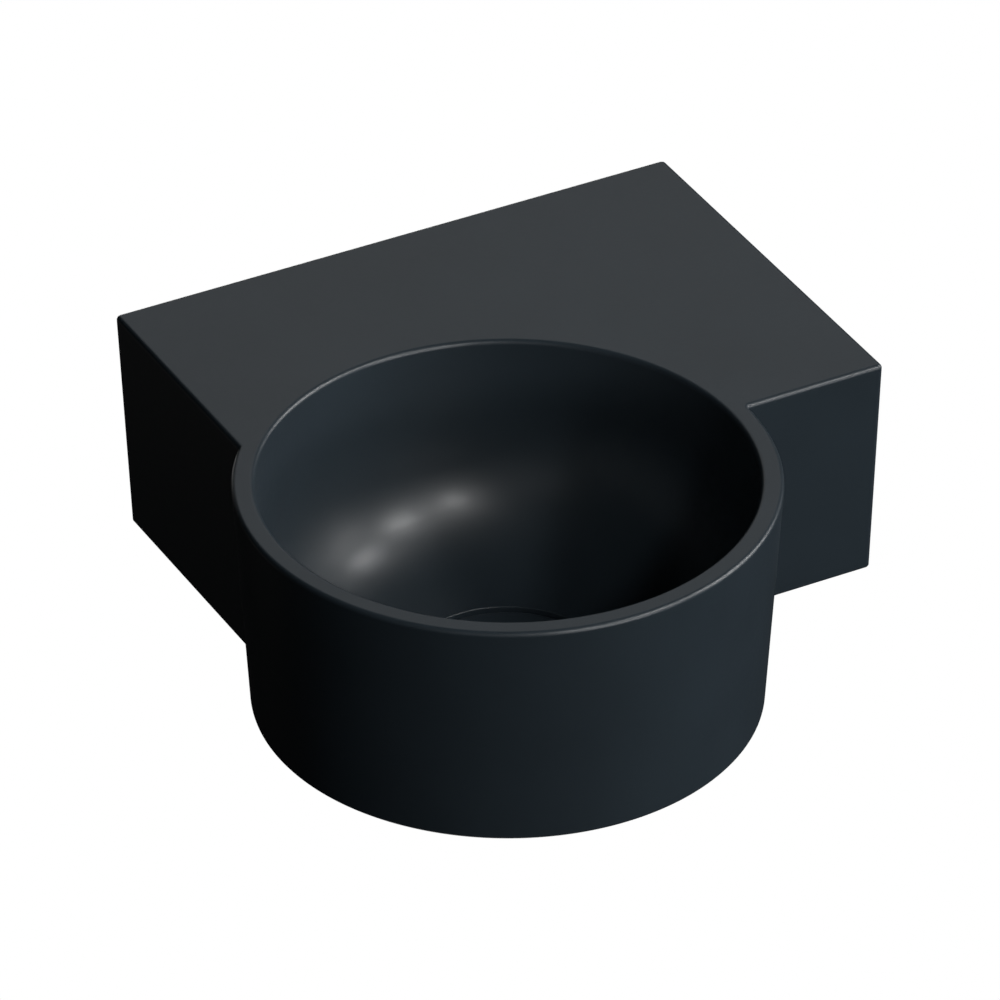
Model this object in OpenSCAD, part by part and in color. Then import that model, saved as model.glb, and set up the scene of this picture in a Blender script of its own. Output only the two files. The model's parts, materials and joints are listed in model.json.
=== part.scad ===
// Wall-hung washbasin: a round bowl set into the front corner of a rectangular ledge,
// with a press-to-open waste under a matching round cover, and two wall fixings.
// Millimetres. +Z is up and the front faces -Y. The origin lies on the back face,
// midway between the two wall bolts.

/* [Ledge block] */
// Width of the rectangular ledge block
block_w = 398; // [360:1:460]
// Depth from the wall to the bowl's axis, which is also the block's front face
block_d = 282; // [250:1:330]
// Height of the whole ceramic body
basin_h = 158; // [150:1:190]
// Distance from the block's left side to the bowl's axis
bowl_from_left = 130; // [120:1:160]
// Inward lean of the front wall towards the bottom, in degrees
front_draft = 3.3; // [2:0.1:5]
// Inward lean of the left wall towards the bottom, in degrees
left_draft = 2.7; // [2:0.1:5]
// Rounding of the visible top edges and of the front right corner
edge_r = 3.1; // [2:0.1:5]
// Rounding of the edges that meet the wall
back_edge_r = 3; // [1:0.1:4]

/* [Bowl] */
// Outside diameter of the bowl at its top
bowl_d = 340; // [320:1:360]
// Width of the bowl's rim
rim_w = 14.6; // [13:0.1:17]
// Depth of the bowl down to its floor
bowl_depth = 139.5; // [130:0.5:141]
// Inward lean of the bowl's outer wall towards the bottom, in degrees
bowl_draft = 3.4; // [2:0.1:5]
// Radius at which the curved inner wall meets the flat ring of floor around the drain
floor_flat_r = 65.4; // [65:0.2:85]
// Diameter of the round recess that holds the drain cover
recess_d = 127; // [110:1:127]
// Depth of that recess below the bowl's floor
recess_depth = 10.2; // [10:0.1:12]
// Rounding of the recess's upper edge
recess_edge_r = 0.9; // [0.5:0.1:1.5]

/* [Hollow underside] */
// Thickness of the outer walls around the hollow
wall_t = 13; // [11:0.5:15]
// Thickness of the ledge's top slab
slab_t = 14; // [12:0.5:18]
// Thickness of the bowl's inner shell
shell_t = 12; // [10:0.5:14]
// Radius of the solid disc under the bowl's floor
base_disc_r = 84; // [78:1:90]
// Radius of the boss that the waste clamps on
boss_r = 40; // [36:1:44]
// Height of that boss below the underside
boss_h = 5.5; // [5:0.5:8]

/* [Wall fixings] */
// Distance between the two wall bolts
bolt_spacing = 280; // [240:10:300]
// Depth of the bolts below the ledge's top
bolt_drop = 60; // [50:1:70]
// Diameter of the bolts' thread
bolt_d = 10; // [10:1:12]
// Diameter of the holes in the back wall
bolt_hole_d = 16; // [15:0.5:18]
// Length of bolt that goes into the wall
bolt_in_wall = 70; // [50:5:80]
// Thickness of the ceramic at the bolt holes
bolt_pad_t = 20; // [16:1:24]

/* [Waste and cover] */
// Diameter of the waste body's thread
waste_thread_d = 41.9; // [41.8:0.05:42]
// Diameter of the waste hole in the ceramic
waste_hole_d = 46; // [45:0.5:48]
// Diameter of the waste body's flange
flange_d = 64; // [60:1:70]
// Length of the waste body from its flange down
waste_len = 82.3; // [80:0.1:90]
// Height of the outlet thread at the bottom of the waste body
outlet_len = 25; // [20:1:28]
// Gap between the drain cover and the wall of its recess
cover_gap = 1.8; // [1.5:0.1:3]
// Depth of the cover's top below the bowl's floor when it is closed
cover_sink = 2.2; // [1.8:0.1:3]
// Thickness of the cover
cover_t = 6; // [5.5:0.1:6.5]

/* [Hidden] */

$fn = 96;
over = 5; // how far a cutting shape runs past the surface that it cuts
ceramic = [0.13, 0.14, 0.15];
chrome = [0.75, 0.76, 0.78];
brass = [0.72, 0.58, 0.30];
steel = [0.62, 0.63, 0.65];
rubber = [0.07, 0.07, 0.07];
nylon = [0.90, 0.90, 0.87];
acetal = [0.85, 0.86, 0.88];

// Levels of the ceramic body
top_z = bolt_drop;
bottom_z = top_z - basin_h;
floor_z = top_z - bowl_depth;
recess_z = floor_z - recess_depth;
boss_z = bottom_z - boss_h;
left_x = -block_w / 2;
right_x = block_w / 2;
bowl_x = left_x + bowl_from_left;
bowl_y = -block_d;
bowl_r = bowl_d / 2;
inner_r = bowl_r - rim_w;
floor_curve_r = inner_r - floor_flat_r;
curve_z = floor_z + floor_curve_r;
bottom_edge_r = 1.5;
hollow_corner_r = 6;
curve_steps = 24;

// Levels of the waste, from the flange down
flange_t = 2.3;
flange_room_r = flange_d / 2 + 0.5; // radius of the seat that the flange lies in
flange_edge = 1;
gasket_t = 1.5;
flange_top = recess_z;
flange_bottom = flange_top - flange_t;
seat_z = flange_bottom - gasket_t;
waste_end = flange_top - waste_len;
thread_r = waste_thread_d / 2;
throat_r = 17.5;
land_r = 18.5;
land_end = flange_top - 10;
groove_w = 2;
groove_r = thread_r - 0.8;
spider_t = 7;
spider_bottom = waste_end + outlet_len + 7;
spider_top = spider_bottom + spider_t;
hub_r = 8.5;
arm_w = 3;
spigot_r = 5;
fit_gap = 0.1;

// Clamping stack under the boss
rubber_t = 6;
rubber_r = 31;
collar_h = 4;
collar_r = waste_hole_d / 2 - 0.2;
collar_taper = 0.6;
slip_t = 1.5;
slip_r = 30;
slip_z = boss_z - rubber_t - slip_t;
nut_t = 8;
nut_flats = 52;
thread_gap = 0.05;

// Drain cover and plug, drawn closed
cover_r = recess_d / 2 - cover_gap;
cover_top = floor_z - cover_sink;
cover_bottom = cover_top - cover_t;
pocket_r = 26.2;
pocket_h = 2.5;
pad_t = 0.8;
pad_r = 25;
carrier_r = 26;
carrier_t = pocket_h - pad_t;
carrier_top = cover_bottom + carrier_t;
stem_r = 3;
lock_nut_t = 3.2;
lock_nut_flats = 10;
plug_top = cover_bottom - lock_nut_t;
plug_t = 4.9;
plug_bottom = plug_top - plug_t;
plug_r = land_r - 0.6;
seal_in_r = 15.5;
seal_r = land_r - fit_gap;
seal_t = 2;
seal_bottom = plug_bottom + 1.6;
seal_lip = 0.5;
plug_grip = 8; // depth of stem screwed into the plunger
cover_round = 1.2;

// Click cartridge
sleeve_r = 8;
sleeve_len = 33;
sleeve_base_t = 1.5;
sleeve_top = spider_top + sleeve_len;
sleeve_floor = spider_top + sleeve_base_t;
cap_t = 2.2;
rod_r = 3.9;
head_r = 6;
bore_r = head_r + 2 * fit_gap;
chamber_r = 7.2;
head_t = 5;
head_travel = 8.5; // room above the plunger's head
head_top = sleeve_top - head_travel;
head_bottom = head_top - head_t;
ring_t = 4;
ring_top = head_bottom - fit_gap;
ring_bottom = ring_top - ring_t;
ring_r = 5.9;
ring_bore_r = 3.05;
cam_r = 7.1;
cam_w = 2.6;
cam_count = 4;
track_w = cam_w + 0.4;
track_top = head_bottom + head_travel - 0.3;
chamber_top = head_bottom;
spigot_len = ring_t + 1;
stem_bottom = plug_bottom - plug_grip;
spring_wire = 0.5;
spring_r = 4.8;
spring_turns = 6;
spring_bottom = sleeve_floor + thread_gap;
spring_top = ring_bottom - thread_gap;

// Wall fixing set, from the ceramic's inner face forwards
pad_face = -bolt_pad_t;
bolt_pad_r = 22;
bush_flange_t = 3;
bush_flange_r = 15;
bush_r = bolt_hole_d / 2 - 0.2;
washer_t = 2.5;
washer_r = 15;
washer_gap = 0.25;
bolt_nut_t = 8;
bolt_nut_flats = 17;
bolt_end_free = 8;
bolt_point = 12;
bolt_tip_r = 1;
bolt_r = bolt_d / 2;
bolt_neck = 3; // plain neck between the nut's thread and the wall's thread
bolt_neck_r = bolt_r - 0.6;
bolt_front_r = bolt_r - 0.2; // machine thread, a little slimmer than the wood thread
bolt_nut_face = pad_face - bush_flange_t - washer_t;
bolt_front = bolt_nut_face - bolt_nut_t - bolt_end_free;

function arc(x, y, r, from, to, steps = 8) =
    [for (i = [0:steps]) let (a = from + (to - from) * i / steps) [x + r * cos(a), y + r * sin(a)]];

// A tube of round section along a helix about Z
module helix(r, wire, z0, z1, turns) {
    sides = 8;
    per_turn = 18;
    n = turns * per_turn;
    points = [for (i = [0:n]) for (j = [0:sides - 1])
        let (a = 360 * i / per_turn, b = 360 * j / sides)
        [(r + wire * cos(b)) * cos(a), (r + wire * cos(b)) * sin(a),
            z0 + wire + (z1 - z0 - 2 * wire) * i / n + wire * sin(b)]];
    skin = [for (i = [0:n - 1]) for (j = [0:sides - 1])
        let (k = (j + 1) % sides)
        [i * sides + j, (i + 1) * sides + j, (i + 1) * sides + k, i * sides + k]];
    first = [for (j = [0:sides - 1]) j];
    last = [for (j = [sides - 1:-1:0]) n * sides + j];
    polyhedron(points, concat([first], skin, [last]));
}

module ring(z0, z1, r_out, r_in) {
    difference() {
        translate([0, 0, z0]) cylinder(h = z1 - z0, r = r_out);
        translate([0, 0, z0 - over]) cylinder(h = z1 - z0 + 2 * over, r = r_in);
    }
}

module hex_nut(z0, t, flats, r_in) {
    difference() {
        translate([0, 0, z0]) cylinder(h = t, d = flats / cos(30), $fn = 6);
        translate([0, 0, z0 - over]) cylinder(h = t + 2 * over, r = r_in);
    }
}

// Puts its children on the bowl's axis
module at_bowl() {
    translate([bowl_x, bowl_y, 0]) children();
}

// Puts its children, drawn along Z, on both bolt axes with +Z towards the wall
module at_bolts() {
    for (side = [-1, 1])
        translate([side * bolt_spacing / 2, 0, 0]) rotate([-90, 0, 0]) children();
}

// Outline with its left and right top corners rounded, from x0 to x1 at the top,
// and with the left side leaning inward by lean degrees over its height h
module top_profile(x0, x1, h, lean, r0, r1) {
    slide = h * tan(lean);
    polygon(concat(
        [[x0 + slide, -h]],
        arc(x0 + r0, -r0, r0, 180 + lean, 90),
        arc(x1 - r1, -r1, r1, 90, 0),
        [[x1, -h]]));
}

// Block-shaped solid inset by t on its sides, with its top at z1
module block(t, z1, r_top, r_back, r_corner) {
    h = z1 - bottom_z;
    drop = top_z - z1;
    x0 = left_x + t / cos(left_draft) + drop * tan(left_draft);
    y0 = bowl_y + t / cos(front_draft) + drop * tan(front_draft);
    x1 = right_x - t;
    y1 = -t;
    span = 2 * block_w;
    intersection() {
        // left and right sides with the rounded top
        translate([0, y1, z1]) rotate([90, 0, 0]) linear_extrude(height = y1 - y0 + over)
            top_profile(x0, x1, h, left_draft, r_top, r_top);
        // front and back sides with the rounded top
        translate([x0 - over, 0, z1]) rotate([90, 0, 90])
            linear_extrude(height = x1 - x0 + 2 * over)
            top_profile(y0, y1, h, front_draft, r_top, r_back);
        // front right corner, rounded along the leaning front wall
        translate([x1, y0, z1]) rotate([front_draft, 0, 0])
            translate([0, 0, -span]) linear_extrude(height = 2 * span)
            polygon(concat([[0, span], [-span, span], [-span, 0]],
                arc(-r_corner, r_corner, r_corner, -90, 0)));
        // back left corner, rounded along the leaning left wall
        translate([x0, y1, z1]) rotate([0, -left_draft, 0])
            translate([0, 0, -span]) linear_extrude(height = 2 * span)
            polygon(concat([[span, 0], [span, -span], [0, -span]],
                arc(r_back, -r_back, r_back, 180, 90)));
        // back right corner
        translate([x1, y1, -span]) linear_extrude(height = 2 * span)
            polygon(concat([[-span, 0], [-span, -span], [0, -span]],
                arc(-r_back, -r_back, r_back, 0, 90)));
    }
}

// Outer cone of the bowl with its rounded rim, solid right through
module bowl_outside() {
    slope = tan(bowl_draft);
    foot = bowl_r - basin_h * slope;
    rotate_extrude() polygon(concat(
        [[0, bottom_z], [foot - bottom_edge_r, bottom_z], [foot + bottom_edge_r * slope,
            bottom_z + bottom_edge_r]],
        arc(bowl_r - edge_r, top_z - edge_r, edge_r, -bowl_draft, 90),
        [[0, top_z]]));
}

// Space inside the bowl: flared rim edge, straight wall, curve, floor and recess
module bowl_inside() {
    rotate_extrude() polygon(concat(
        [[0, top_z + over], [inner_r + edge_r, top_z + over]],
        arc(inner_r + edge_r, top_z - edge_r, edge_r, 90, 180),
        arc(floor_flat_r, curve_z, floor_curve_r, 0, -90, curve_steps),
        arc(recess_d / 2 + recess_edge_r, floor_z - recess_edge_r, recess_edge_r, 90, 180, 4),
        [[recess_d / 2, recess_z], [flange_room_r, recess_z], [flange_room_r, seat_z],
            [0, seat_z]]));
}

// The bowl's inner shell and the solid disc under its floor, filled in from above
module bowl_shell() {
    rotate_extrude() polygon(concat(
        [[0, top_z], [inner_r + shell_t, top_z]],
        arc(floor_flat_r, curve_z, floor_curve_r + shell_t, 0, -90, curve_steps),
        [[0, floor_z - shell_t]]));
    translate([0, 0, bottom_z - over]) cylinder(h = floor_z - bottom_z + over, r = base_disc_r);
}

// Hollow of the block and of the bowl's skirt, open at the bottom
module underside_hollow() {
    slope = tan(bowl_draft);
    difference() {
        union() {
            difference() {
                block(wall_t, top_z - slab_t, hollow_corner_r, hollow_corner_r, hollow_corner_r);
                at_bolts() translate([0, 0, -bolt_pad_t]) cylinder(h = bolt_pad_t, r = bolt_pad_r);
            }
            block_foot();
            at_bowl() translate([0, 0, bottom_z - over])
                cylinder(h = basin_h - slab_t + over, r1 = bowl_r - wall_t - (basin_h + over) * slope,
                    r2 = bowl_r - wall_t - slab_t * slope);
        }
        at_bowl() bowl_shell();
    }
}

// Straight mouth of the block's hollow, run past the bottom face
module block_foot() {
    inset = wall_t + basin_h * tan(left_draft);
    front = wall_t + basin_h * tan(front_draft);
    translate([left_x + inset, bowl_y + front, bottom_z - over])
        cube([block_w - inset - wall_t, block_d - front - wall_t, 2 * over]);
}

module basin() {
    color(ceramic) difference() {
        union() {
            difference() {
                union() {
                    block(0, top_z, edge_r, back_edge_r, edge_r);
                    at_bowl() bowl_outside();
                }
                underside_hollow();
            }
            at_bowl() translate([0, 0, boss_z]) cylinder(h = bottom_z - boss_z + over, r = boss_r);
        }
        at_bowl() bowl_inside();
        at_bowl() translate([0, 0, boss_z - over])
            cylinder(h = seat_z - boss_z + 2 * over, d = waste_hole_d);
        at_bolts() translate([0, 0, -bolt_pad_t - over])
            cylinder(h = bolt_pad_t + 2 * over, d = bolt_hole_d);
    }
}

module drain_cover() {
    color(ceramic) at_bowl() difference() {
        rotate_extrude() polygon(concat(
            [[0, cover_bottom]],
            arc(cover_r - cover_round, cover_bottom + cover_round, cover_round, -90, 0, 4),
            arc(cover_r - cover_round, cover_top - cover_round, cover_round, 0, 90, 4),
            [[0, cover_top]]));
        translate([0, 0, cover_bottom - over]) cylinder(h = pocket_h + over, r = pocket_r);
    }
}

module cover_pad() {
    color(rubber) at_bowl() ring(carrier_top, carrier_top + pad_t, pad_r, 2 * stem_r);
}

module cover_carrier() {
    color(steel) at_bowl() ring(cover_bottom, carrier_top, carrier_r, stem_r);
}

module stem_screw() {
    color(steel) at_bowl() translate([0, 0, stem_bottom])
        cylinder(h = carrier_top + pad_t / 2 - stem_bottom, r = stem_r - thread_gap);
}

module stem_lock_nut() {
    color(steel) at_bowl() hex_nut(plug_top, lock_nut_t, lock_nut_flats, stem_r);
}

module plug_body() {
    color(chrome) at_bowl() difference() {
        ring(plug_bottom, plug_top, plug_r, stem_r + thread_gap);
        ring(seal_bottom, seal_bottom + seal_t, plug_r + over, seal_in_r);
    }
}

module plug_seal() {
    seal_bore = seal_in_r + thread_gap;
    color(rubber) at_bowl() rotate_extrude() polygon([
        [seal_bore, seal_bottom], [seal_r - seal_lip, seal_bottom],
        [seal_r, seal_bottom + seal_lip], [seal_r, seal_bottom + seal_t - seal_lip],
        [seal_r - seal_lip, seal_bottom + seal_t],
        [seal_bore, seal_bottom + seal_t]]);
}

module plunger() {
    color(acetal) at_bowl() difference() {
        union() {
            translate([0, 0, head_top - over]) cylinder(h = plug_bottom - head_top + over, r = rod_r);
            translate([0, 0, head_bottom]) cylinder(h = head_t, r = head_r);
            translate([0, 0, head_bottom - spigot_len])
                cylinder(h = spigot_len + over / 2, r = ring_bore_r - fit_gap);
        }
        translate([0, 0, stem_bottom - 1]) cylinder(h = plug_bottom - stem_bottom + over, r = stem_r);
    }
}

module ratchet_ring() {
    color(nylon) at_bowl() difference() {
        union() {
            translate([0, 0, ring_bottom]) cylinder(h = ring_t, r = ring_r);
            intersection() {
                translate([0, 0, ring_bottom]) cylinder(h = ring_t, r = cam_r);
                for (i = [0:cam_count / 2 - 1]) rotate([0, 0, 360 * i / cam_count])
                    translate([-over - cam_r, -cam_w / 2, ring_bottom])
                        cube([2 * (cam_r + over), cam_w, ring_t]);
            }
        }
        translate([0, 0, ring_bottom - over]) cylinder(h = ring_t + 2 * over, r = ring_bore_r);
    }
}

module click_spring() {
    color(steel) at_bowl() helix(spring_r, spring_wire, spring_bottom, spring_top, spring_turns);
}

module cartridge_sleeve() {
    color(acetal) at_bowl() difference() {
        union() {
            translate([0, 0, spider_top]) cylinder(h = sleeve_top - spider_top, r = sleeve_r);
            translate([0, 0, spider_bottom - 1])
                cylinder(h = spider_top - spider_bottom + 2, r = spigot_r - thread_gap);
        }
        translate([0, 0, sleeve_floor]) cylinder(h = chamber_top - sleeve_floor, r = chamber_r);
        translate([0, 0, sleeve_floor + 1]) cylinder(h = sleeve_top - sleeve_floor + over, r = bore_r);
        intersection() {
            translate([0, 0, chamber_top - 1])
                cylinder(h = track_top - chamber_top + 1, r = chamber_r);
            for (i = [0:cam_count / 2 - 1]) rotate([0, 0, 360 * i / cam_count])
                translate([-sleeve_r, -track_w / 2, chamber_top - 1])
                    cube([2 * sleeve_r, track_w, track_top - chamber_top + 1]);
        }
    }
}

module cartridge_cap() {
    color(acetal) at_bowl() ring(sleeve_top, sleeve_top + cap_t, sleeve_r, rod_r + fit_gap);
}

module waste_body() {
    lead_in = 2;
    color(chrome) at_bowl() union() {
        rotate_extrude() polygon([
            [land_r + lead_in, flange_top], [flange_d / 2 - flange_edge, flange_top],
            [flange_d / 2, flange_top - flange_edge], [flange_d / 2, flange_bottom],
            [thread_r, flange_bottom],
            [thread_r, waste_end + outlet_len + groove_w],
            [groove_r, waste_end + outlet_len + groove_w],
            [groove_r, waste_end + outlet_len], [thread_r, waste_end + outlet_len],
            [thread_r, waste_end], [throat_r, waste_end], [throat_r, land_end - 1],
            [land_r, land_end], [land_r, flange_top - lead_in]]);
        difference() {
            union() {
                translate([0, 0, spider_bottom])
                    cylinder(h = spider_top - spider_bottom, r = hub_r);
                intersection() {
                    translate([0, 0, spider_bottom])
                        cylinder(h = spider_top - spider_bottom, r = throat_r + 1);
                    for (a = [0, 90]) rotate([0, 0, a + 45])
                        translate([-thread_r, -arm_w / 2, spider_bottom])
                            cube([waste_thread_d, arm_w, spider_top - spider_bottom]);
                }
            }
            translate([0, 0, spider_bottom - over])
                cylinder(h = spider_top - spider_bottom + 2 * over, r = spigot_r);
        }
    }
}

module flange_gasket() {
    color(rubber) at_bowl() ring(seat_z, flange_bottom, flange_d / 2 - flange_edge, thread_r + fit_gap);
}

module lower_gasket() {
    color(rubber) at_bowl() rotate_extrude() polygon([
        [thread_r + fit_gap, boss_z - rubber_t], [rubber_r, boss_z - rubber_t],
        [rubber_r, boss_z], [collar_r, boss_z], [collar_r - collar_taper, boss_z + collar_h],
        [thread_r + fit_gap, boss_z + collar_h]]);
}

module slip_washer() {
    color(nylon) at_bowl() ring(slip_z, slip_z + slip_t, slip_r, thread_r + fit_gap);
}

module back_nut() {
    color(brass) at_bowl() hex_nut(slip_z - nut_t, nut_t, nut_flats, thread_r + thread_gap);
}

module hanger_bolts() {
    color(steel) at_bolts() union() {
        translate([0, 0, bolt_front]) cylinder(h = -bolt_neck - bolt_front, r = bolt_front_r);
        translate([0, 0, -bolt_neck - 1]) cylinder(h = bolt_neck + 2, r = bolt_neck_r);
        cylinder(h = bolt_in_wall - bolt_point, r = bolt_r);
        translate([0, 0, bolt_in_wall - bolt_point]) cylinder(h = bolt_point, r1 = bolt_r, r2 = bolt_tip_r);
    }
}

module bolt_bushes() {
    color(nylon) at_bolts() difference() {
        union() {
            translate([0, 0, pad_face]) cylinder(h = bolt_pad_t - 1, r = bush_r);
            translate([0, 0, pad_face - bush_flange_t]) cylinder(h = bush_flange_t, r = bush_flange_r);
        }
        translate([0, 0, pad_face - over]) cylinder(h = bolt_pad_t + 2 * over, r = bolt_r + fit_gap);
    }
}

module bolt_washers() {
    color(steel) at_bolts() ring(bolt_nut_face, bolt_nut_face + washer_t, washer_r, bolt_r + washer_gap);
}

module bolt_nuts() {
    color(steel) at_bolts()
        hex_nut(bolt_nut_face - bolt_nut_t, bolt_nut_t, bolt_nut_flats, bolt_front_r + thread_gap);
}

basin();
drain_cover();
cover_pad();
cover_carrier();
stem_screw();
stem_lock_nut();
plug_body();
plug_seal();
plunger();
ratchet_ring();
click_spring();
cartridge_sleeve();
cartridge_cap();
waste_body();
flange_gasket();
lower_gasket();
slip_washer();
back_nut();
hanger_bolts();
bolt_bushes();
bolt_washers();
bolt_nuts();
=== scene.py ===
"""Looks of the wall-hung washbasin: a round bowl in the corner of a rectangular ledge.

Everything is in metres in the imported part's frame: +Z is up, +Y goes into the wall and the
origin lies on the back face midway between the wall bolts. Places are worked out from the
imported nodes' boxes.
"""

import json
import math

import bmesh
import bpy
import numpy as np
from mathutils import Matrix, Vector


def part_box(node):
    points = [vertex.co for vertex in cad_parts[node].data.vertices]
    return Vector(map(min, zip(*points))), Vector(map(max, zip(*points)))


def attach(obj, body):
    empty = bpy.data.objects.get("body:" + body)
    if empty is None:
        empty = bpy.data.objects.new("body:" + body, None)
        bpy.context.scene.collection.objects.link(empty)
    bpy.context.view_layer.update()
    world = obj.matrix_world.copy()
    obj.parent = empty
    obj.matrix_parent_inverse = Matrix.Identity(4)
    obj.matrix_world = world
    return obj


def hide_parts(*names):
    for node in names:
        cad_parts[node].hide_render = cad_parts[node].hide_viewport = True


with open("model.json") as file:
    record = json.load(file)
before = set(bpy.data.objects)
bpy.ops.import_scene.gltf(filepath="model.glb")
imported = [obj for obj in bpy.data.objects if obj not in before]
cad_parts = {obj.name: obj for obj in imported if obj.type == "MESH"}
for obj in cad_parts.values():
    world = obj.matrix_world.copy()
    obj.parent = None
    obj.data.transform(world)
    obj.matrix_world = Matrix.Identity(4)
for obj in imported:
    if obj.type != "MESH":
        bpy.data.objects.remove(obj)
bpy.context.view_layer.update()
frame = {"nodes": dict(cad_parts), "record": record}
MM = 0.001


def box(node):
    lo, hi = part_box(node)
    return Vector(lo), Vector(hi)


# ---------------------------------------------------------------- sizes from the frame
basin_lo, basin_hi = box("basin")
cover_lo, cover_hi = box("drain_cover")
waste_lo, waste_hi = box("waste_body")
nut_lo, nut_hi = box("back_nut")
slip_lo, slip_hi = box("slip_washer")
gasket_lo, gasket_hi = box("lower_gasket")
bolts_lo, bolts_hi = box("hanger_bolts")
bush_lo, bush_hi = box("bolt_bushes")
washer_lo, washer_hi = box("bolt_washers")
bolt_nut_lo, bolt_nut_hi = box("bolt_nuts")

TOP = basin_hi.z
RIGHT = basin_hi.x
LEFT = -RIGHT
BOWL_X = (cover_lo.x + cover_hi.x) / 2
BOWL_Y = (cover_lo.y + cover_hi.y) / 2
BOWL_R = BOWL_Y - basin_lo.y
BOSS_BOTTOM = basin_lo.z
FLANGE_T, FLANGE_GASKET_T = 2.3 * MM, 1.5 * MM
SEAT = waste_hi.z - FLANGE_T - FLANGE_GASKET_T
RECESS_FLOOR = waste_hi.z
SLIP_R = (slip_hi.x - slip_lo.x) / 2

# ---------------------------------------------------------------- ceramic shape
BODY_H = 158 * MM
BOTTOM = TOP - BODY_H
EDGE_R = 3.1 * MM
CORNER_R = 3.6 * MM
NOTCH_R = 1.5 * MM
FOOT_R = 1.5 * MM
RIM_W = 14.6 * MM
INNER_R = BOWL_R - RIM_W
LEAN_LEFT = math.tan(math.radians(2.7))
LEAN_FRONT = math.tan(math.radians(3.3))
LEAN_BOWL = math.tan(math.radians(3.4))
WALL = 13 * MM
SLAB = 14 * MM
SHELL = 12 * MM
HOLLOW_R = 6 * MM
FLAT_R = 65.4 * MM
FLOOR = TOP - 139.5 * MM
FLOOR_CURVE = INNER_R - FLAT_R
CURVE_Z = FLOOR + FLOOR_CURVE
RECESS_R = 63.5 * MM
RECESS_EDGE = 0.9 * MM
FLANGE_ROOM = 32.5 * MM
HOLE_R = 23 * MM
BOSS_R = 40 * MM
DISC_R = 84 * MM
SUPPORT = 0.35 * MM
PAD_R = 22 * MM
PAD_T = 20 * MM
BOLT_HOLE_R = 8 * MM
BOLT_X = 140 * MM

# Points along each stretch of the body's outline, counted counterclockwise from the left notch
N_BOWL, N_NOTCH, N_FRONT, N_CORNER, N_RIGHT, N_BACK, N_LEFT = 224, 6, 12, 8, 30, 40, 22


# ---------------------------------------------------------------- helpers
def new_object(name, verts, faces, smooth=True):
    mesh = bpy.data.meshes.new(name)
    mesh.from_pydata([tuple(v) for v in verts], [], faces)
    mesh.update()
    obj = bpy.data.objects.new(name, mesh)
    bpy.context.scene.collection.objects.link(obj)
    tidy_mesh(mesh, smooth)
    return obj


def tidy_mesh(mesh, smooth=True, merge=2e-6, sharp_angle=34):
    bm = bmesh.new()
    bm.from_mesh(mesh)
    if merge:
        bmesh.ops.remove_doubles(bm, verts=bm.verts, dist=merge)
        bmesh.ops.dissolve_degenerate(bm, edges=bm.edges, dist=1e-7)
    bmesh.ops.recalc_face_normals(bm, faces=bm.faces)
    for face in bm.faces:
        face.smooth = smooth
    bm.to_mesh(mesh)
    bm.free()
    mesh.set_sharp_from_angle(angle=math.radians(sharp_angle))


def ring_faces(rings, count, closed=False):
    """Quads between neighbouring rings of count points each."""
    faces = []
    for k in range(rings if closed else rings - 1):
        a, b = k * count, ((k + 1) % rings) * count
        for i in range(count):
            j = (i + 1) % count
            faces.append((a + i, a + j, b + j, b + i))
    return faces


def stretch(a, b, count, near=SUPPORT):
    """Points from a up to but not including b, with one close to each end."""
    a, b = np.array(a), np.array(b)
    s = min(near / max(np.linalg.norm(b - a), 1e-9), 0.2)
    t = np.concatenate([[0], np.linspace(s, 1 - s, count - 1)])
    return a + (b - a) * t[:, None]


def turn(centre, r, a0, a1, count):
    """Arc points from angle a0 up to but not including a1, in degrees."""
    t = np.radians(np.linspace(a0, a1, count, endpoint=False))
    return np.array(centre) + r * np.stack([np.cos(t), np.sin(t)], axis=1)


def outline(z, inset, corner=CORNER_R):
    """The body's plan outline at height z, moved inward by inset."""
    drop = TOP - z
    left = LEFT + drop * LEAN_LEFT + inset
    front = BOWL_Y + drop * LEAN_FRONT + inset
    right, back = RIGHT - inset, -inset
    r = BOWL_R - drop * LEAN_BOWL - inset
    notch = NOTCH_R + inset
    c = corner if corner > 4.5 * MM else max(corner - inset, 0.15 * MM)
    # notch fillets lie outside the outline and touch the circle and a wall
    ax = left - notch
    ay = BOWL_Y + math.sqrt((r + notch) ** 2 - (ax - BOWL_X) ** 2)
    by = front - notch
    bx = BOWL_X + math.sqrt((r + notch) ** 2 - (by - BOWL_Y) ** 2)
    start = math.degrees(math.atan2(ay - BOWL_Y, ax - BOWL_X))
    end = 360 + math.degrees(math.atan2(by - BOWL_Y, bx - BOWL_X))
    return np.concatenate([
        turn((BOWL_X, BOWL_Y), r, start, end, N_BOWL),
        turn((bx, by), notch, end - 180, 90, N_NOTCH),
        stretch((bx, front), (right - c, front), N_FRONT),
        turn((right - c, front + c), c, -90, 0, N_CORNER),
        stretch((right, front + c), (right, back - c), N_RIGHT),
        turn((right - c, back - c), c, 0, 90, N_CORNER),
        stretch((right - c, back), (left + c, back), N_BACK),
        turn((left + c, back - c), c, 90, 180, N_CORNER),
        stretch((left, back - c), (left, ay), N_LEFT),
        turn((ax, ay), notch, 0, start - 180, N_NOTCH)])


def at_height(plan, z):
    return np.column_stack([plan, np.broadcast_to(z, len(plan))])


def bowl_angles(plan):
    """Angles round the bowl's axis: true ones along the bowl, evenly spread behind it."""
    d = plan - np.array([BOWL_X, BOWL_Y])
    seen = np.unwrap(np.arctan2(d[:N_BOWL + N_NOTCH // 2, 1], d[:N_BOWL + N_NOTCH // 2, 0]))
    rest = len(plan) - len(seen)
    step = (seen[0] + 2 * math.pi - seen[-1]) / (rest + 1)
    return np.concatenate([seen, seen[-1] + step * np.arange(1, rest + 1)])


def round_ring(angles, r, z):
    return np.column_stack([BOWL_X + r * np.cos(angles), BOWL_Y + r * np.sin(angles),
                            np.broadcast_to(z, len(angles))])


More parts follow.
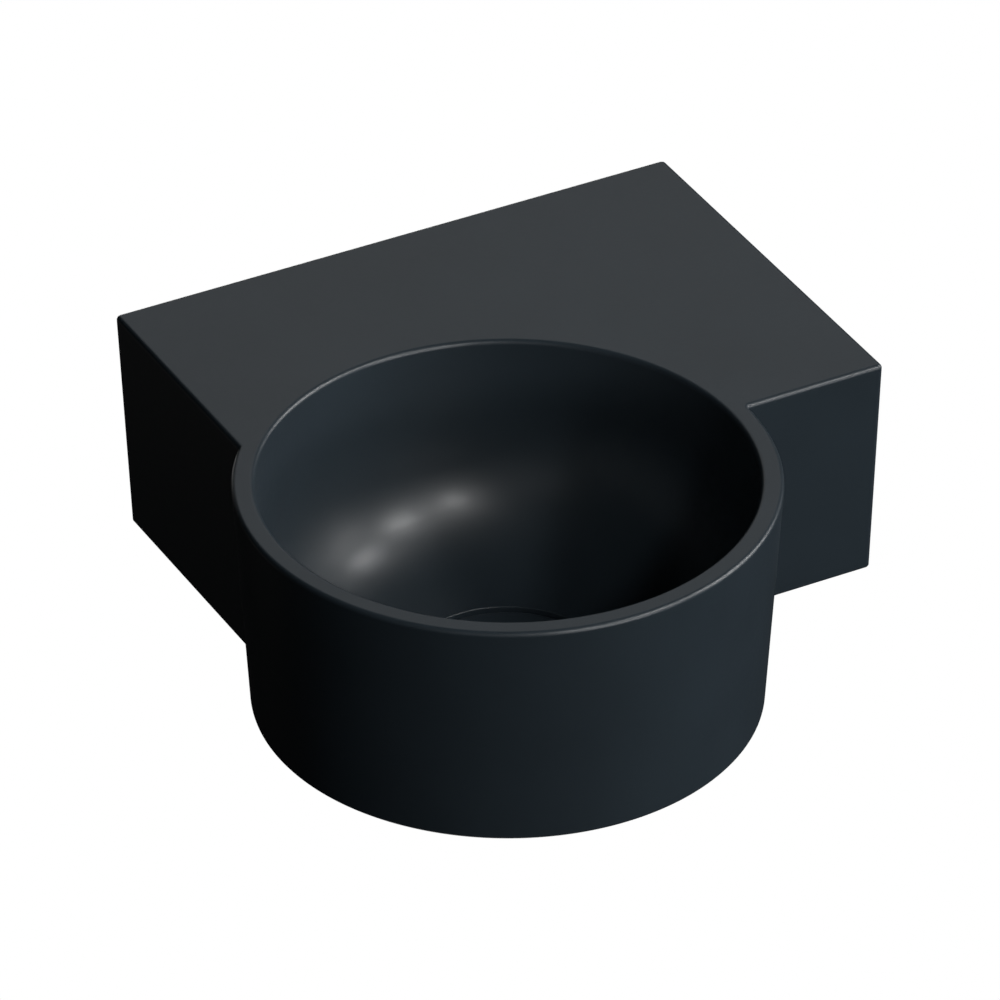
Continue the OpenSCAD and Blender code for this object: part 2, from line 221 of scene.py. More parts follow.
# ---------------------------------------------------------------- the ceramic body
def basin_rings():
    rings = []
    # outer wall from the foot up to the rounded top edge
    for t in np.radians(np.linspace(90, 0, 5)):
        z = BOTTOM + FOOT_R * (1 - math.sin(t))
        rings.append(at_height(outline(z, FOOT_R * (1 - math.cos(t))), z))
    for z in np.linspace(BOTTOM + FOOT_R + SUPPORT, TOP - EDGE_R - SUPPORT, 12):
        rings.append(at_height(outline(z, 0), z))
    for t in np.radians(np.linspace(0, 90, 11)):
        z = TOP - EDGE_R * (1 - math.sin(t))
        rings.append(at_height(outline(z, EDGE_R * (1 - math.cos(t))), z))
    # flat top, from the outline in to the rim of the bowl
    angles = bowl_angles(outline(TOP, EDGE_R))
    outer = at_height(outline(TOP, EDGE_R + SUPPORT), TOP)
    mouth = round_ring(angles, INNER_R + EDGE_R + SUPPORT, TOP)
    for t in (0, 0.12, 0.3, 0.5, 0.7, 0.88, 1):
        rings.append(outer + (mouth - outer) * t)
    # inside of the bowl
    for t in np.radians(np.linspace(90, 180, 11)):
        rings.append(round_ring(angles, INNER_R + EDGE_R * (1 + math.cos(t)),
                                TOP - EDGE_R * (1 - math.sin(t))))
    for z in np.linspace(TOP - EDGE_R - SUPPORT, CURVE_Z + SUPPORT, 4):
        rings.append(round_ring(angles, INNER_R, z))
    for t in np.radians(np.linspace(0, 90, 33)):
        rings.append(round_ring(angles, FLAT_R + FLOOR_CURVE * math.cos(t),
                                CURVE_Z - FLOOR_CURVE * math.sin(t)))
    for t in np.radians(np.linspace(90, 180, 6)):
        rings.append(round_ring(angles, RECESS_R + RECESS_EDGE * (1 + math.cos(t)),
                                FLOOR - RECESS_EDGE * (1 - math.sin(t))))
    floor_round = 2 * MM
    for t in np.radians(np.linspace(0, 90, 5)):
        rings.append(round_ring(angles, RECESS_R - floor_round * (1 - math.cos(t)),
                                RECESS_FLOOR + floor_round * (1 - math.sin(t))))
    for r, z in ((FLANGE_ROOM + SUPPORT, RECESS_FLOOR), (FLANGE_ROOM, RECESS_FLOOR - SUPPORT),
                 (FLANGE_ROOM, SEAT), (HOLE_R, SEAT)):
        rings.append(round_ring(angles, r, z))
    # underside: waste hole, boss, base disc and the bowl's shell
    slab_z = TOP - SLAB
    low = outline(BOTTOM, WALL, HOLLOW_R)
    high = outline(slab_z, WALL, HOLLOW_R)
    wall_top = np.array([meet_shell(a, b, slab_z) for a, b in zip(low, high)])
    reach = (wall_top - BOTTOM) / (slab_z - BOTTOM)
    wall_end = low + (high - low) * reach[:, None]
    under = bowl_angles(wall_end)
    for r, z in ((HOLE_R, BOSS_BOTTOM + SUPPORT), (HOLE_R + SUPPORT, BOSS_BOTTOM),
                 (BOSS_R - 1 * MM, BOSS_BOTTOM), (BOSS_R, BOSS_BOTTOM + 1 * MM),
                 (BOSS_R, BOTTOM - 1 * MM), (BOSS_R + 1 * MM, BOTTOM),
                 (DISC_R - 2 * MM, BOTTOM), (DISC_R - 0.6 * MM, BOTTOM + 0.6 * MM),
                 (DISC_R, BOTTOM + 2 * MM)):
        rings.append(round_ring(under, r, z))
    shell_r = FLOOR_CURVE + SHELL
    reach_r = np.minimum(np.hypot(*(wall_end - np.array([BOWL_X, BOWL_Y])).T), FLAT_R + shell_r)
    for t in np.linspace(0, 1, 20):
        r = DISC_R + (reach_r - DISC_R) * math.sin(t * math.pi / 2)
        rings.append(round_ring(under, r, shell_z(r)))
    ceiling = np.where(reach_r >= FLAT_R + shell_r - 1e-7, slab_z, wall_top)
    shell_top = round_ring(under, reach_r, ceiling)
    last = rings[-1]
    for t in (0.5, 1):
        rings.append(last + (shell_top - last) * t)
    wall_ring = at_height(wall_end, wall_top)
    for t in (0.33, 0.67, 1):
        rings.append(shell_top + (wall_ring - shell_top) * t)
    for t in np.linspace(0.9, 0, 8):
        plan = low + (high - low) * (reach * t)[:, None]
        rings.append(at_height(plan, BOTTOM + (wall_top - BOTTOM) * t + 1 * MM * (1 - t)))
    rings.append(at_height(outline(BOTTOM, WALL - 1 * MM, HOLLOW_R), BOTTOM))
    return rings


def shell_z(r):
    shell_r = FLOOR_CURVE + SHELL
    x = np.clip(np.asarray(r) - FLAT_R, 0, shell_r)
    return CURVE_Z - np.sqrt(shell_r ** 2 - x ** 2)


def meet_shell(a, b, slab_z):
    """Height at which the hollow's wall, leaning from a to b, runs into the bowl's shell."""
    for z in np.linspace(BOTTOM, slab_z, 240):
        p = a + (b - a) * (z - BOTTOM) / (slab_z - BOTTOM)
        r = math.hypot(p[0] - BOWL_X, p[1] - BOWL_Y)
        if r < FLAT_R + FLOOR_CURVE + SHELL and float(shell_z(r)) <= z:
            return z
    return slab_z


def make_basin():
    rings = basin_rings()
    count = len(rings[0])
    basin = new_object("basin_body", np.concatenate(rings), ring_faces(len(rings), count, True))
    pads, holes = [], []
    for side in (-1, 1):
        pads.append(lathe(f"pad_{side}", [(0, 4 * MM), (PAD_R, 4 * MM), (PAD_R, PAD_T - 1.5 * MM),
                                          (PAD_R - 1.5 * MM, PAD_T), (0, PAD_T)], 64,
                          (side * BOLT_X, 0, 0), "y"))
        holes.append(lathe(f"hole_{side}", [(0, -5 * MM), (BOLT_HOLE_R + 6 * MM, -5 * MM),
                                            (BOLT_HOLE_R + 1 * MM, 0), (BOLT_HOLE_R, 1 * MM),
                                            (BOLT_HOLE_R, PAD_T + 5 * MM), (0, PAD_T + 5 * MM)],
                           64, (side * BOLT_X, 0, 0), "y", phase=0.37))
    for tools, kind in ((pads, "UNION"), (holes, "DIFFERENCE")):
        for tool in tools:
            cut = basin.modifiers.new(kind, "BOOLEAN")
            cut.operation, cut.object, cut.solver = kind, tool, "EXACT"
    depsgraph = bpy.context.evaluated_depsgraph_get()
    shaped = bpy.data.meshes.new_from_object(basin.evaluated_get(depsgraph))
    basin.modifiers.clear()
    basin.data = shaped
    for tool in pads + holes:
        bpy.data.objects.remove(tool)
    tidy_mesh(shaped, merge=0)
    return basin


# ---------------------------------------------------------------- turned parts
def lathe(name, profile, count, place, axis="z", closed=False, shape=None, phase=0.0):
    """Turns (radius, height) points about an axis through place. Along y, heights run forwards
    from the wall. shape(angles, radius, height) may change a ring's radii and heights, and
    phase starts the ring that many steps further round."""
    angles = (np.arange(count) + phase) * 2 * math.pi / count
    rings = []
    for r, h in profile:
        radius, height = np.full(count, float(r)), np.full(count, float(h))
        if shape is not None:
            radius, height = shape(angles, radius, height)
        rings.append(np.column_stack([radius * np.cos(angles), radius * np.sin(angles), height]))
    points = np.concatenate(rings)
    if axis == "y":
        points = np.column_stack([points[:, 0], -points[:, 2], points[:, 1]])
    return new_object(name, points + np.array(place), ring_faces(len(rings), count, closed))


def rounded(points, radii, steps=4):
    """Profile corners rounded by the given radii; a radius of 0 leaves the corner sharp."""
    result = []
    total = len(points)
    for i, (corner, r) in enumerate(zip(points, radii)):
        p, a, b = (np.array(q, float) for q in (corner, points[i - 1], points[(i + 1) % total]))
        if r <= 0:
            result.append(tuple(p))
            continue
        u, v = (a - p) / np.linalg.norm(a - p), (b - p) / np.linalg.norm(b - p)
        half = math.acos(max(-1.0, min(1.0, float(u @ v)))) / 2
        cut = min(r / math.tan(half), np.linalg.norm(a - p) * 0.48, np.linalg.norm(b - p) * 0.48)
        start, end = p + u * cut, p + v * cut
        for t in np.linspace(0, 1, steps + 1):
            q = (1 - t) ** 2 * start + 2 * t * (1 - t) * p + t ** 2 * end
            result.append(tuple(q))
    return result


def thread_shape(spans, beyond=0.0):
    """Cuts helical thread into the spans (from, to, pitch, depth) of a turned part, outside
    the given radius, so that a bore inside stays smooth."""
    def shape(angles, radius, height):
        for low, high, pitch, depth in spans:
            inside = (height > low) & (height < high) & (radius > beyond)
            fade = np.clip(np.minimum(height - low, high - height) / pitch, 0, 1)
            wave = np.abs(2 * np.mod(height / pitch - angles / (2 * math.pi), 1) - 1)
            cut = depth * np.clip(1.25 * wave - 0.125, 0, 1) * fade
            radius = np.where(inside, radius - cut, radius)
        return radius, height
    return shape


def spread(r, low, high, step):
    """Evenly spaced points of one radius, dense enough to carry a thread."""
    count = max(2, round(abs(high - low) / step) + 1)
    return [(r, h) for h in np.linspace(low, high, count)]


def hex_shape(flats, chamfer_r, low, high):
    """Turns the rings marked by radius 1 into a hexagon whose corners are chamfered at 30 deg."""
    def shape(angles, radius, height):
        sector = np.mod(angles, math.pi / 3) - math.pi / 6
        across = flats / 2 / np.cos(sector)
        drop = np.maximum(across - chamfer_r, 0) * math.tan(math.radians(30))
        hexed = radius > 0.5
        level = np.where(height > (low + high) / 2, high - drop, low + drop)
        return np.where(hexed, across, radius), np.where(hexed, level, height)
    return shape


def hex_nut(name, flats, bore, low, high, place, axis="z"):
    chamfer_r = flats / 2 * 0.985
    lead = 0.6 * MM
    profile = [(bore + lead, low), (chamfer_r, low), (1, low), (1, high), (chamfer_r, high),
               (bore + lead, high), (bore, high - lead), (bore, low + lead)]
    return lathe(name, profile, 96, place, axis, True, hex_shape(flats, chamfer_r, low, high))


def washer(name, r_in, r_out, low, high, place, axis="z", edge=0.5 * MM):
    edge = min(edge, (high - low) * 0.45)
    profile = rounded([(r_in, low), (r_out, low), (r_out, high), (r_in, high)], [edge] * 4)
    return lathe(name, profile, 96, place, axis, True)


def join(name, parts):
    """One object made of several closed shells."""
    bm = bmesh.new()
    for part in parts:
        bm.from_mesh(part.data)
        bpy.data.objects.remove(part)
    mesh = bpy.data.meshes.new(name)
    bm.to_mesh(mesh)
    bm.free()
    obj = bpy.data.objects.new(name, mesh)
    bpy.context.scene.collection.objects.link(obj)
    mesh.set_sharp_from_angle(angle=math.radians(34))
    return obj


def bar(name, start, end, width, low, high, edge):
    """A flat arm between two points in plan, with its long edges rounded."""
    a, b = np.array(start), np.array(end)
    side = np.array([-(b - a)[1], (b - a)[0]]) / np.linalg.norm(b - a)
    section = rounded([(-width / 2, low), (width / 2, low), (width / 2, high), (-width / 2, high)],
                      [edge] * 4)
    rings = [[(*(p + side * s), z) for s, z in section] for p in (a, b)]
    count = len(section)
    ends = [tuple(range(count)), tuple(range(2 * count - 1, count - 1, -1))]
    faces = ring_faces(2, count) + ends
    return new_object(name, np.array(rings).reshape(-1, 3), faces)


# ---------------------------------------------------------------- materials
def material(name, color, roughness, metallic=0.0, spec=0.5):
    mat = bpy.data.materials.new(name)
    mat.use_nodes = True
    nodes, links = mat.node_tree.nodes, mat.node_tree.links
    bsdf = nodes["Principled BSDF"]
    bsdf.inputs["Base Color"].default_value = (*color, 1)
    bsdf.inputs["Roughness"].default_value = roughness
    bsdf.inputs["Metallic"].default_value = metallic
    bsdf.inputs["Specular IOR Level"].default_value = spec
    return mat, nodes, links, bsdf


def noise(nodes, links, coords, scale, detail=3.0, stretch_by=(1, 1, 1)):
    mapping = nodes.new("ShaderNodeMapping")
    mapping.inputs["Scale"].default_value = stretch_by
    links.new(coords.outputs["Object"], mapping.inputs["Vector"])
    tex = nodes.new("ShaderNodeTexNoise")
    tex.inputs["Scale"].default_value = scale
    tex.inputs["Detail"].default_value = detail
    links.new(mapping.outputs["Vector"], tex.inputs["Vector"])
    return tex


def ramp(nodes, links, source, low, high, at=(0.3, 0.7)):
    node = nodes.new("ShaderNodeValToRGB")
    for element, position, value in zip(node.color_ramp.elements, at, (low, high)):
        element.position = position
        element.color = (*value, 1) if hasattr(value, "__len__") else (value, value, value, 1)
    links.new(source.outputs[0], node.inputs["Fac"])
    return node


def bump(nodes, links, bsdf, source, strength, distance, under=None):
    node = nodes.new("ShaderNodeBump")
    node.inputs["Strength"].default_value = strength
    node.inputs["Distance"].default_value = distance
    links.new(source.outputs[0], node.inputs["Height"])
    if under is not None:
        links.new(under.outputs["Normal"], node.inputs["Normal"])
    links.new(node.outputs["Normal"], bsdf.inputs["Normal"])
    return node


GLAZE = (0.021, 0.030, 0.038)
GLAZE_ROUGH = 0.38
COAT, COAT_ROUGH = 0.15, 0.25


def glaze():
    """Satin black glaze: fine orange peel, faint mottling and a slightly uneven sheen."""
    mat, nodes, links, bsdf = material("satin_black_glaze", GLAZE, GLAZE_ROUGH)
    bsdf.inputs["Coat Weight"].default_value = COAT
    bsdf.inputs["Coat Roughness"].default_value = COAT_ROUGH
    coords = nodes.new("ShaderNodeTexCoord")
    cloud = noise(nodes, links, coords, 14, 4)
    tint = ramp(nodes, links, cloud, [c * 0.94 for c in GLAZE], [c * 1.06 for c in GLAZE])
    links.new(tint.outputs["Color"], bsdf.inputs["Base Color"])
    sheen = ramp(nodes, links, noise(nodes, links, coords, 260, 4), GLAZE_ROUGH - 0.015,
                 GLAZE_ROUGH + 0.015)
    links.new(sheen.outputs["Color"], bsdf.inputs["Roughness"])
    peel = bump(nodes, links, bsdf, noise(nodes, links, coords, 420, 2), 0.05, 0.0004)
    bump(nodes, links, bsdf, noise(nodes, links, coords, 2600, 2), 0.06, 0.00008, peel)
    return mat



def worn(name, color, roughness, metallic, vary, grain, stretch_by=(1, 1, 1), depth=0.00003,
         spec=0.5):
    """Colour, roughness and a fine surface grain that all vary a little over the part."""
    mat, nodes, links, bsdf = material(name, color, roughness, metallic, spec)
    coords = nodes.new("ShaderNodeTexCoord")
    tint = ramp(nodes, links, noise(nodes, links, coords, 55, 4),
                [c * (1 - vary) for c in color], [min(c * (1 + vary), 1) for c in color])
    links.new(tint.outputs["Color"], bsdf.inputs["Base Color"])
    fine = noise(nodes, links, coords, grain, 4, stretch_by)
    sheen = ramp(nodes, links, fine, max(roughness * 0.8, 0.02), min(roughness * 1.25, 1))
    links.new(sheen.outputs["Color"], bsdf.inputs["Roughness"])
    bump(nodes, links, bsdf, fine, 0.35, depth)
    return mat


BRUSH = (1, 1, 14)
glaze_mat = glaze()
MATERIALS = {
    "basin_ceramic": glaze_mat,
    "cover_ceramic": glaze_mat,
    "chrome": worn("polished_chrome", (0.78, 0.79, 0.80), 0.09, 1, 0.02, 500, depth=0.00001),
    "brass": worn("turned_brass", (0.70, 0.53, 0.26), 0.28, 1, 0.10, 300, BRUSH),
    "stainless": worn("brushed_stainless", (0.60, 0.61, 0.62), 0.30, 1, 0.05, 300, BRUSH),
    "zinc_steel": worn("zinc_plate", (0.62, 0.64, 0.67), 0.34, 1, 0.14, 180),
    "spring_steel": worn("spring_wire", (0.50, 0.50, 0.51), 0.25, 1, 0.05, 900),
    "rubber": worn("black_rubber", (0.022, 0.022, 0.023), 0.72, 0, 0.15, 900, depth=0.00008,
                   spec=0.4),
    "nylon": worn("moulded_nylon", (0.80, 0.80, 0.76), 0.46, 0, 0.03, 700, depth=0.00004),
    "acetal": worn("moulded_acetal", (0.78, 0.80, 0.82), 0.36, 0, 0.02, 700, depth=0.00003)}
SLOTS = {part["node"]: part["material_slot"] for part in frame["record"]["subparts"]}


def place_piece(obj, node, body):
    """Hands a finished piece over: its look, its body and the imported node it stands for."""
    obj.data.materials.clear()
    obj.data.materials.append(MATERIALS[SLOTS[node]])
    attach(obj, body)
    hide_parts(node)


place_piece(make_basin(), "basin", "body")

# ---------------------------------------------------------------- waste and its clamping stack
AXIS = (BOWL_X, BOWL_Y, 0)
THREAD_GAP = 0.05 * MM
PITCH_G = 2.309 * MM
THREAD_R = 20.95 * MM
THROAT_R = 17.5 * MM
LAND_R = 18.5 * MM
LAND_DEPTH = 10 * MM
OUTLET_LEN = 25 * MM
OUTLET_GROOVE = 2 * MM
GROOVE_R = THREAD_R - 0.8 * MM
THREAD_DEPTH = 1.1 * MM
HUB_R, HUB_BORE = 8.5 * MM, 5 * MM
ARM_W = 3 * MM
SPIDER_EDGE = 0.6 * MM
FLANGE_R = (waste_hi.x - waste_lo.x) / 2
FLANGE_BOTTOM = waste_hi.z - FLANGE_T
OUTLET_TOP = waste_lo.z + OUTLET_LEN
SPIDER_LOW = OUTLET_TOP + 7 * MM
SPIDER_HIGH = SPIDER_LOW + 7 * MM


def make_waste():
    step = PITCH_G / 6
    land_end = waste_hi.z - LAND_DEPTH
    inner = rounded([(THROAT_R, waste_lo.z), (THROAT_R, land_end - 1 * MM),
                     (LAND_R, land_end), (LAND_R, waste_hi.z - 2 * MM),
                     (LAND_R + 2 * MM, waste_hi.z), (FLANGE_R, waste_hi.z),
                     (FLANGE_R, FLANGE_BOTTOM), (THREAD_R, FLANGE_BOTTOM)],
                    [0, 0.5 * MM, 0.5 * MM, 1 * MM, 0.8 * MM, 1 * MM, 0.4 * MM, 0])
    body_end = OUTLET_TOP + OUTLET_GROOVE
    outer = spread(THREAD_R, FLANGE_BOTTOM - 0.5 * MM, body_end, step)
    outer += [(GROOVE_R, body_end), (GROOVE_R, OUTLET_TOP)]
    outer += spread(THREAD_R, OUTLET_TOP, waste_lo.z + 1 * MM, step)
    outer += [(THREAD_R - 1 * MM, waste_lo.z)]
    spans = [(body_end, FLANGE_BOTTOM - 3 * MM, PITCH_G, THREAD_DEPTH),
             (waste_lo.z + 0.6 * MM, OUTLET_TOP, PITCH_G, THREAD_DEPTH)]
    tube = lathe("tube", inner + outer, 80, AXIS, closed=True,
                 shape=thread_shape(spans, beyond=LAND_R + 0.5 * MM))
    hub = washer("hub", HUB_BORE, HUB_R, SPIDER_LOW, SPIDER_HIGH, AXIS, edge=SPIDER_EDGE)
    parts = [tube, hub]
    for quarter in range(4):
        a = math.radians(45 + 90 * quarter)
        ends = [(BOWL_X + r * math.cos(a), BOWL_Y + r * math.sin(a))
                for r in (HUB_R - 0.8 * MM, THROAT_R + 1 * MM)]
        parts.append(bar(f"arm_{quarter}", *ends, ARM_W, SPIDER_LOW, SPIDER_HIGH, SPIDER_EDGE))
    return join("waste_tube", parts)


place_piece(make_waste(), "waste_body", "body")

COLLAR_R = 22.8 * MM
GASKET_R = (gasket_hi.x - gasket_lo.x) / 2
BORE_R = THREAD_R + 0.1 * MM
gasket = lathe("cone_gasket", rounded(
    [(BORE_R, gasket_lo.z), (GASKET_R, gasket_lo.z), (GASKET_R, BOSS_BOTTOM),
     (COLLAR_R, BOSS_BOTTOM), (COLLAR_R - 0.6 * MM, gasket_hi.z), (BORE_R, gasket_hi.z)],
    [0.5 * MM, 1.4 * MM, 1 * MM, 0, 0.4 * MM, 0.3 * MM]), 96, AXIS, closed=True)
place_piece(gasket, "lower_gasket", "body")
place_piece(washer("slip_ring", BORE_R, SLIP_R, slip_lo.z, slip_hi.z, AXIS),
            "slip_washer", "body")
NUT_FLATS = nut_hi.y - nut_lo.y
place_piece(hex_nut("clamp_nut", NUT_FLATS, THREAD_R + THREAD_GAP, nut_lo.z, nut_hi.z, AXIS),
            "back_nut", "body")

# ---------------------------------------------------------------- cover, plug and stem
COVER_R = (cover_hi.x - cover_lo.x) / 2
CROWN = 0.25 * MM
POCKET_R, POCKET_H = 26.2 * MM, 2.5 * MM
side = rounded([(0.4 * COVER_R, cover_lo.z), (COVER_R, cover_lo.z), (COVER_R, cover_hi.z - CROWN),
                (0.6 * COVER_R, cover_hi.z - 0.3 * CROWN)], [0, 1 * MM, 1.4 * MM, 0], 6)[1:-1]
cover_top = [(COVER_R * f, cover_hi.z - CROWN * f ** 4) for f in (0.9, 0.75, 0.5, 0.25, 0)]
cover_under = [(0, cover_lo.z + POCKET_H), (POCKET_R - 1 * MM, cover_lo.z + POCKET_H),
               (POCKET_R, cover_lo.z + POCKET_H - 1 * MM), (POCKET_R, cover_lo.z + 0.6 * MM),
               (POCKET_R + 0.6 * MM, cover_lo.z)]
place_piece(lathe("cover_disc", cover_under + side + cover_top, 160, AXIS), "drain_cover", "plug")

plug_lo, plug_hi = box("plug_body")
seal_lo, seal_hi = box("plug_seal")
stem_lo, stem_hi = box("stem_screw")
lock_lo, lock_hi = box("stem_lock_nut")
PLUG_R = (plug_hi.x - plug_lo.x) / 2
SEAL_R = (seal_hi.x - seal_lo.x) / 2
SEAL_GROOVE_R = 15.5 * MM
STEM_R = (stem_hi.x - stem_lo.x) / 2
plug = lathe("plug_disc", rounded(
    [(STEM_R + 0.1 * MM, plug_lo.z), (PLUG_R, plug_lo.z), (PLUG_R, seal_lo.z),
     (SEAL_GROOVE_R, seal_lo.z), (SEAL_GROOVE_R, seal_hi.z), (PLUG_R, seal_hi.z),
     (PLUG_R, plug_hi.z), (STEM_R + 0.1 * MM, plug_hi.z)],
    [0, 0.8 * MM, 0.3 * MM, 0, 0, 0.3 * MM, 0.6 * MM, 0]), 96, AXIS, closed=True)
place_piece(plug, "plug_body", "plug")
seal = lathe("lip_seal", rounded(
    [(SEAL_GROOVE_R + 0.05 * MM, seal_lo.z), (SEAL_R, seal_lo.z), (SEAL_R, seal_hi.z),
     (SEAL_GROOVE_R + 0.05 * MM, seal_hi.z)], [0, 0.9 * MM, 0.9 * MM, 0]), 96, AXIS, closed=True)
place_piece(seal, "plug_seal", "plug")
stem_profile = [(0, stem_lo.z), (STEM_R - 0.5 * MM, stem_lo.z)]
stem_profile += spread(STEM_R, stem_lo.z + 0.4 * MM, stem_hi.z - 0.4 * MM, 0.17 * MM)
stem_profile += [(STEM_R - 0.5 * MM, stem_hi.z), (0, stem_hi.z)]
place_piece(lathe("stem", stem_profile, 40, AXIS, shape=thread_shape(
    [(stem_lo.z + 0.4 * MM, stem_hi.z - 0.4 * MM, 1 * MM, 0.5 * MM)])), "stem_screw", "plug")
place_piece(hex_nut("lock_nut", lock_hi.y - lock_lo.y, STEM_R + THREAD_GAP, lock_lo.z, lock_hi.z,
                    AXIS), "stem_lock_nut", "plug")

# ---------------------------------------------------------------- wall fixings
FRONT_R, WOOD_R, NECK_R = 4.8 * MM, 5 * MM, 4.4 * MM
NECK = 3 * MM
POINT = 12 * MM
MACHINE_PITCH, MACHINE_DEPTH = 1.5 * MM, 0.85 * MM
WOOD_PITCH, WOOD_DEPTH = 4.2 * MM, 1.3 * MM
BOLT_NUT_FLATS = 17 * MM
BUSH_BORE, WASHER_BORE = 5.1 * MM, 5.25 * MM
WASHER_R = washer_hi.x - BOLT_X


def make_bolt(x):
    front, wall_end = -bolts_lo.y, -bolts_hi.y
    machine = spread(FRONT_R, front - 1 * MM, NECK, 0.22 * MM)
    wood = spread(WOOD_R, 0, wall_end + POINT, 0.55 * MM)
    tip = [(WOOD_R + (1 * MM - WOOD_R) * t, wall_end + POINT * (1 - t))
           for t in np.linspace(0.05, 0.98, 16)]
    profile = [(0, front), (FRONT_R - 1 * MM, front)] + machine + [(NECK_R, NECK), (NECK_R, 0)]
    profile += wood + tip + [(0, wall_end)]
    spans = [(NECK, front - 0.6 * MM, MACHINE_PITCH, MACHINE_DEPTH),
             (wall_end, 0, WOOD_PITCH, WOOD_DEPTH)]
    return lathe(f"bolt_{x}", profile, 48, (x, 0, 0), "y", shape=wood_thread(spans))


def wood_thread(spans):
    """Thread that never cuts deeper than a third of the shank, so that it fades at the point."""
    cut_all = thread_shape(spans)

    def shape(angles, radius, height):
        cut, height = cut_all(angles, radius, height)
        return np.maximum(cut, radius * 0.68), height
    return shape


def both_sides(name, make):
    return join(name, [make(x) for x in (-BOLT_X, BOLT_X)])


place_piece(both_sides("hanger_bolt_pair", make_bolt), "hanger_bolts", "body")
BUSH_FACE, BUSH_END, BUSH_BACK = -bush_lo.y, PAD_T, -bush_hi.y
BUSH_R = BOLT_HOLE_R - 0.2 * MM
BUSH_FLANGE_R = bush_hi.x - BOLT_X
place_piece(both_sides("bush_pair", lambda x: lathe(f"bush_{x}", rounded(
    [(BUSH_BORE, BUSH_FACE), (BUSH_BORE, BUSH_BACK), (BUSH_R, BUSH_BACK), (BUSH_R, BUSH_END),
     (BUSH_FLANGE_R, BUSH_END), (BUSH_FLANGE_R, BUSH_FACE)],
    [0.3 * MM, 0.3 * MM, 0.8 * MM, 0, 0.3 * MM, 0.9 * MM]), 72, (x, 0, 0), "y", True)),
    "bolt_bushes", "body")
place_piece(both_sides("washer_pair", lambda x: washer(
    f"washer_{x}", WASHER_BORE, WASHER_R, -washer_hi.y, -washer_lo.y, (x, 0, 0), "y",
    0.4 * MM)),
    "bolt_washers", "body")
place_piece(both_sides("nut_pair", lambda x: hex_nut(
    f"nut_{x}", BOLT_NUT_FLATS, FRONT_R + THREAD_GAP, -bolt_nut_hi.y, -bolt_nut_lo.y,
    (x, 0, 0), "y")),
    "bolt_nuts", "body")

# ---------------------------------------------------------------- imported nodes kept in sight
REPLACED = {"basin", "waste_body", "lower_gasket", "slip_washer", "back_nut", "drain_cover",
            "plug_body", "plug_seal", "stem_screw", "stem_lock_nut", "hanger_bolts",
            "bolt_bushes", "bolt_washers", "bolt_nuts"}
for node, obj in frame["nodes"].items():
    if node not in REPLACED:
        obj.data.materials.clear()
        obj.data.materials.append(MATERIALS[SLOTS[node]])

# ---------------------------------------------------------------- stage, light and camera
# The camera was found by fitting the body's edges to those in the photo. Lengths are in bowl
# radii, and the long lens gives the photo's slight perspective.
target = Vector((BOWL_X + 0.18424 * BOWL_R, BOWL_Y + 0.4 * BOWL_R, TOP - 0.3913 * BOWL_R))
azimuth, elevation, distance = math.radians(-28.3825), math.radians(33.6404), 31.2925 * BOWL_R
back = Vector((math.sin(azimuth) * math.cos(elevation), -math.cos(azimuth) * math.cos(elevation),
               math.sin(elevation)))
camera_data = bpy.data.cameras.new("camera")
camera_data.lens, camera_data.sensor_width = 306.16, 36
camera_data.clip_start, camera_data.clip_end = 0.1, 100
camera = bpy.data.objects.new("camera", camera_data)
camera.location = target + back * distance
camera.rotation_mode = "QUATERNION"
camera.rotation_quaternion = (-back).to_track_quat("-Z", "Y")
bpy.context.scene.collection.objects.link(camera)
bpy.context.scene.camera = camera
bpy.context.scene.view_settings.view_transform = "Standard"

FLOOR_Z = TOP - 0.85
FLOOR_HALF = 30
floor = new_object("floor", [(x * FLOOR_HALF, y * FLOOR_HALF, FLOOR_Z)
                             for x, y in ((-1, -1), (1, -1), (1, 1), (-1, 1))],
                   [(0, 1, 2, 3)], smooth=False)
floor_mat = bpy.data.materials.new("floor_white")
floor_mat.use_nodes = True
floor_nodes, floor_links = floor_mat.node_tree.nodes, floor_mat.node_tree.links
floor_nodes.clear()
floor_glow = floor_nodes.new("ShaderNodeEmission")
floor_glow.inputs["Color"].default_value = (1, 1, 1, 1)
floor_links.new(floor_glow.outputs[0],
                floor_nodes.new("ShaderNodeOutputMaterial").inputs["Surface"])
floor.data.materials.append(floor_mat)
floor.visible_diffuse = floor.visible_glossy = floor.visible_shadow = False


def aim(obj, at):
    obj.rotation_mode = "QUATERNION"
    obj.rotation_quaternion = (Vector(at) - obj.location).to_track_quat("-Z", "Y")


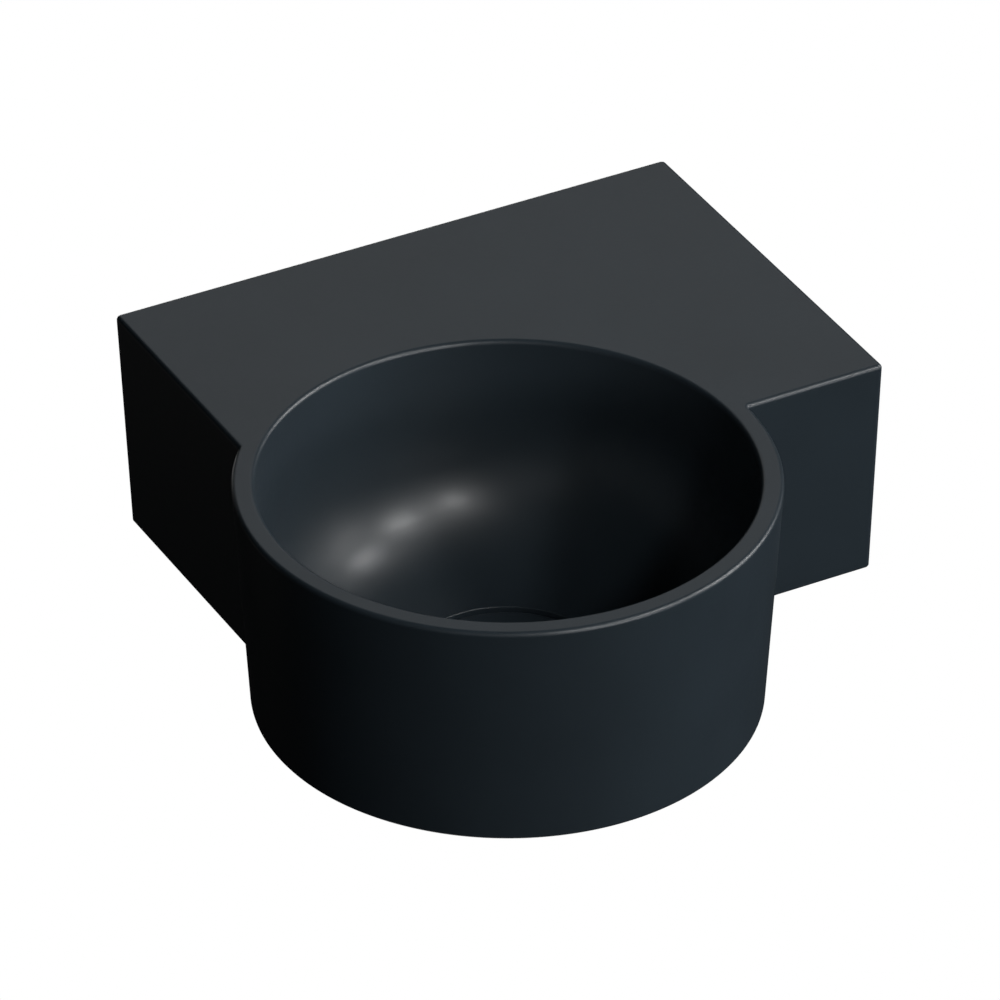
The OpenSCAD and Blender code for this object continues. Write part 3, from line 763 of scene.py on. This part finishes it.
def softbox(name, azimuth_deg, elevation_deg, reach, width, height, power, at):
    data = bpy.data.lights.new(name, "AREA")
    data.shape, data.size, data.size_y, data.energy = "RECTANGLE", width, height, power
    obj = bpy.data.objects.new(name, data)
    a, e = math.radians(azimuth_deg), math.radians(elevation_deg)
    obj.location = Vector(at) + reach * Vector(
        (math.sin(a) * math.cos(e), -math.cos(a) * math.cos(e), math.sin(e)))
    aim(obj, at)
    bpy.context.scene.collection.objects.link(obj)


# Three small key softboxes make the highlights in the bowl and on the rims. Low strips light
# the walls, and the large box behind puts the even sheen on the ledge. The last two light the
# back and the underside, which the main view doesn't show.
# Each is (azimuth, elevation, width, height, power), with azimuth 0 in front and 90 at the
# right. Angles are in degrees, sizes in metres and powers in watts.
LIGHT_REACH = 4.0
LIGHTS = {
    "key_front": (2, 41, 0.4, 0.45, 27), "key_middle": (35, 41, 0.4, 0.45, 35),
    "key_side": (70, 41, 0.4, 0.45, 28), "strip_front": (12, 11, 2.5, 0.7, 48),
    "strip_right": (75, 10, 2.5, 0.7, 32), "strip_high": (72, 25, 2.5, 0.6, 50),
    "fill_back": (155, 32, 3, 2, 9.5), "fill_left": (320, 25, 2, 2, 3.5),
    "fill_low": (220, -20, 2, 2, 0.6), "fill_rear": (165, -8, 2.5, 1, 24),
    "fill_under": (170, -80, 2, 2, 20)}
lit_at = (BOWL_X + 0.05, BOWL_Y + 0.1, TOP - 0.05)
for name, (a, e, width, height, power) in LIGHTS.items():
    softbox(name, a, e, LIGHT_REACH, width, height, power, lit_at)

# the backdrop is white to the camera and gives no light of its own
world = bpy.data.worlds.new("studio")
bpy.context.scene.world = world
world.use_nodes = True
world_nodes, world_links = world.node_tree.nodes, world.node_tree.links
world_nodes.clear()
backdrop = world_nodes.new("ShaderNodeBackground")
backdrop.inputs["Color"].default_value = (1, 1, 1, 1)
rays = world_nodes.new("ShaderNodeLightPath")
world_links.new(rays.outputs["Is Camera Ray"], backdrop.inputs["Strength"])
world_links.new(backdrop.outputs[0], world_nodes.new("ShaderNodeOutputWorld").inputs["Surface"])
